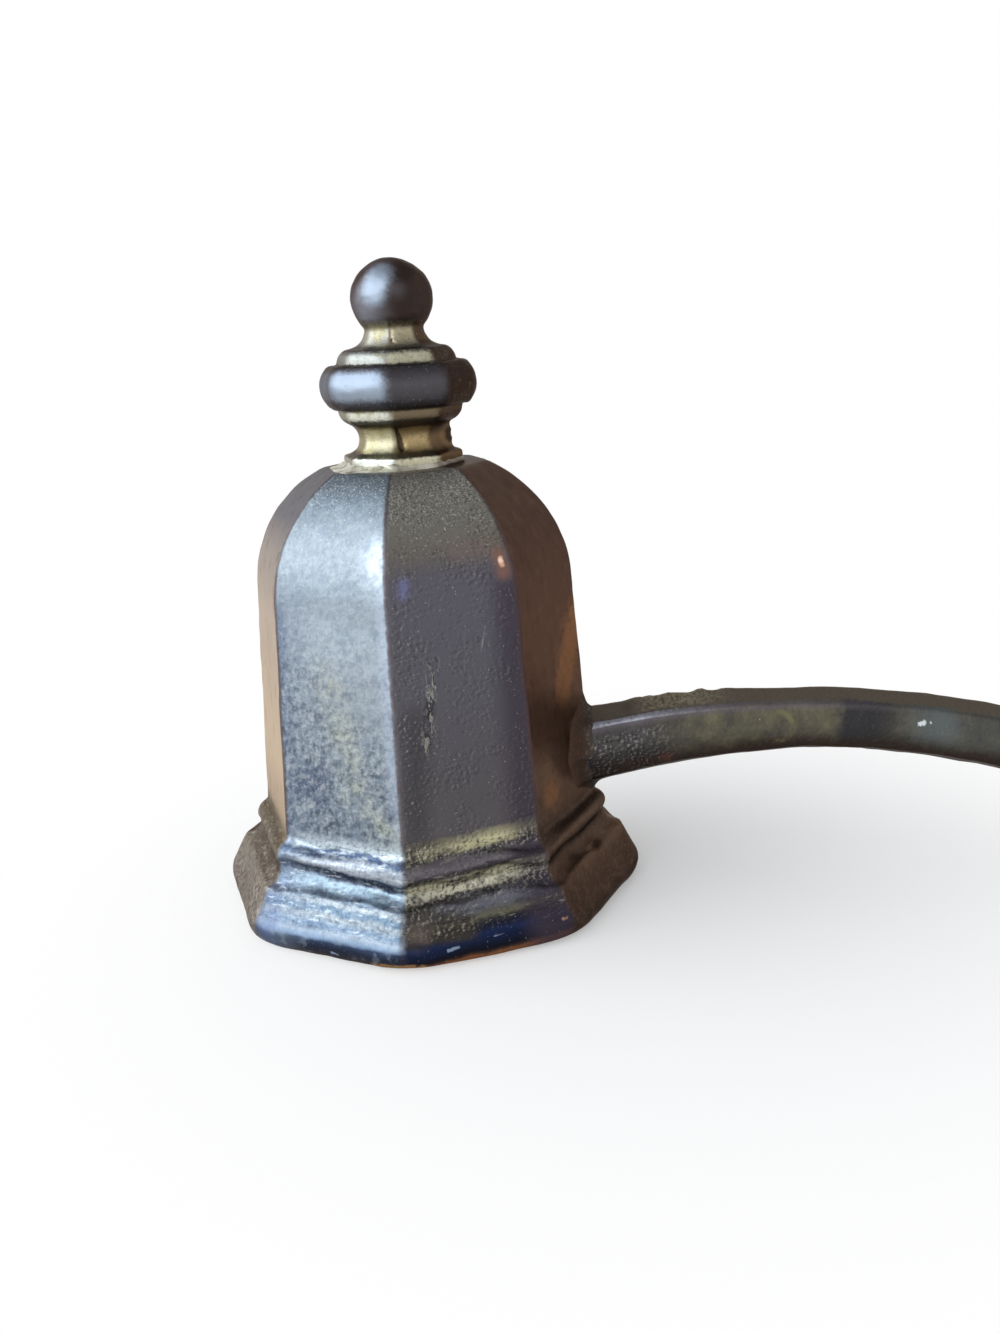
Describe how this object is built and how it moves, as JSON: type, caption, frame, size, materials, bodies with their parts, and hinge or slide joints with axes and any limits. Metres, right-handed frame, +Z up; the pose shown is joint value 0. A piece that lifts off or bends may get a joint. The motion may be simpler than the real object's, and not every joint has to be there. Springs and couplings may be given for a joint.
{
  "type": "candle snuffer",
  "caption": "Cast candle snuffer: octagonal hollow bell with a stepped foot and domed crown, a knobbed finial, and a long curved arm brazed to one corner.",
  "frame": {"origin": "middle of the bell's mouth, on the flat rim that the bell stands on", "axes": "+Z up the bell's axis towards the finial, +X out along the arm, +Y to the left of the arm"},
  "size_m": [0.2159, 0.038, 0.0539],
  "materials": {
    "patinated_brass": "sand-cast brass with a dark brown-grey patina, green dust in its grooves and worn coppery corners",
    "finial_brass": "cast brass, dark on ball and collar, rubbed to pale gold in its hollows",
    "arm_brass": "cast brass with a dark olive-brown patina and rough flash along its top",
    "pale_solder": "thin pale solder run, dull",
    "braze_metal": "rough brazing metal, brown",
    "plain_brass": "plain brass fasteners, tarnished"
  },
  "bodies": {
    "root": {"bell_casting": "patinated_brass", "finial": "finial_brass", "finial_solder": "pale_solder", "finial_stud": "plain_brass", "finial_washer": "plain_brass", "finial_nut": "plain_brass", "handle_arm": "arm_brass", "handle_burr": "plain_brass", "handle_braze": "braze_metal"}
  },
  "joints": []
}
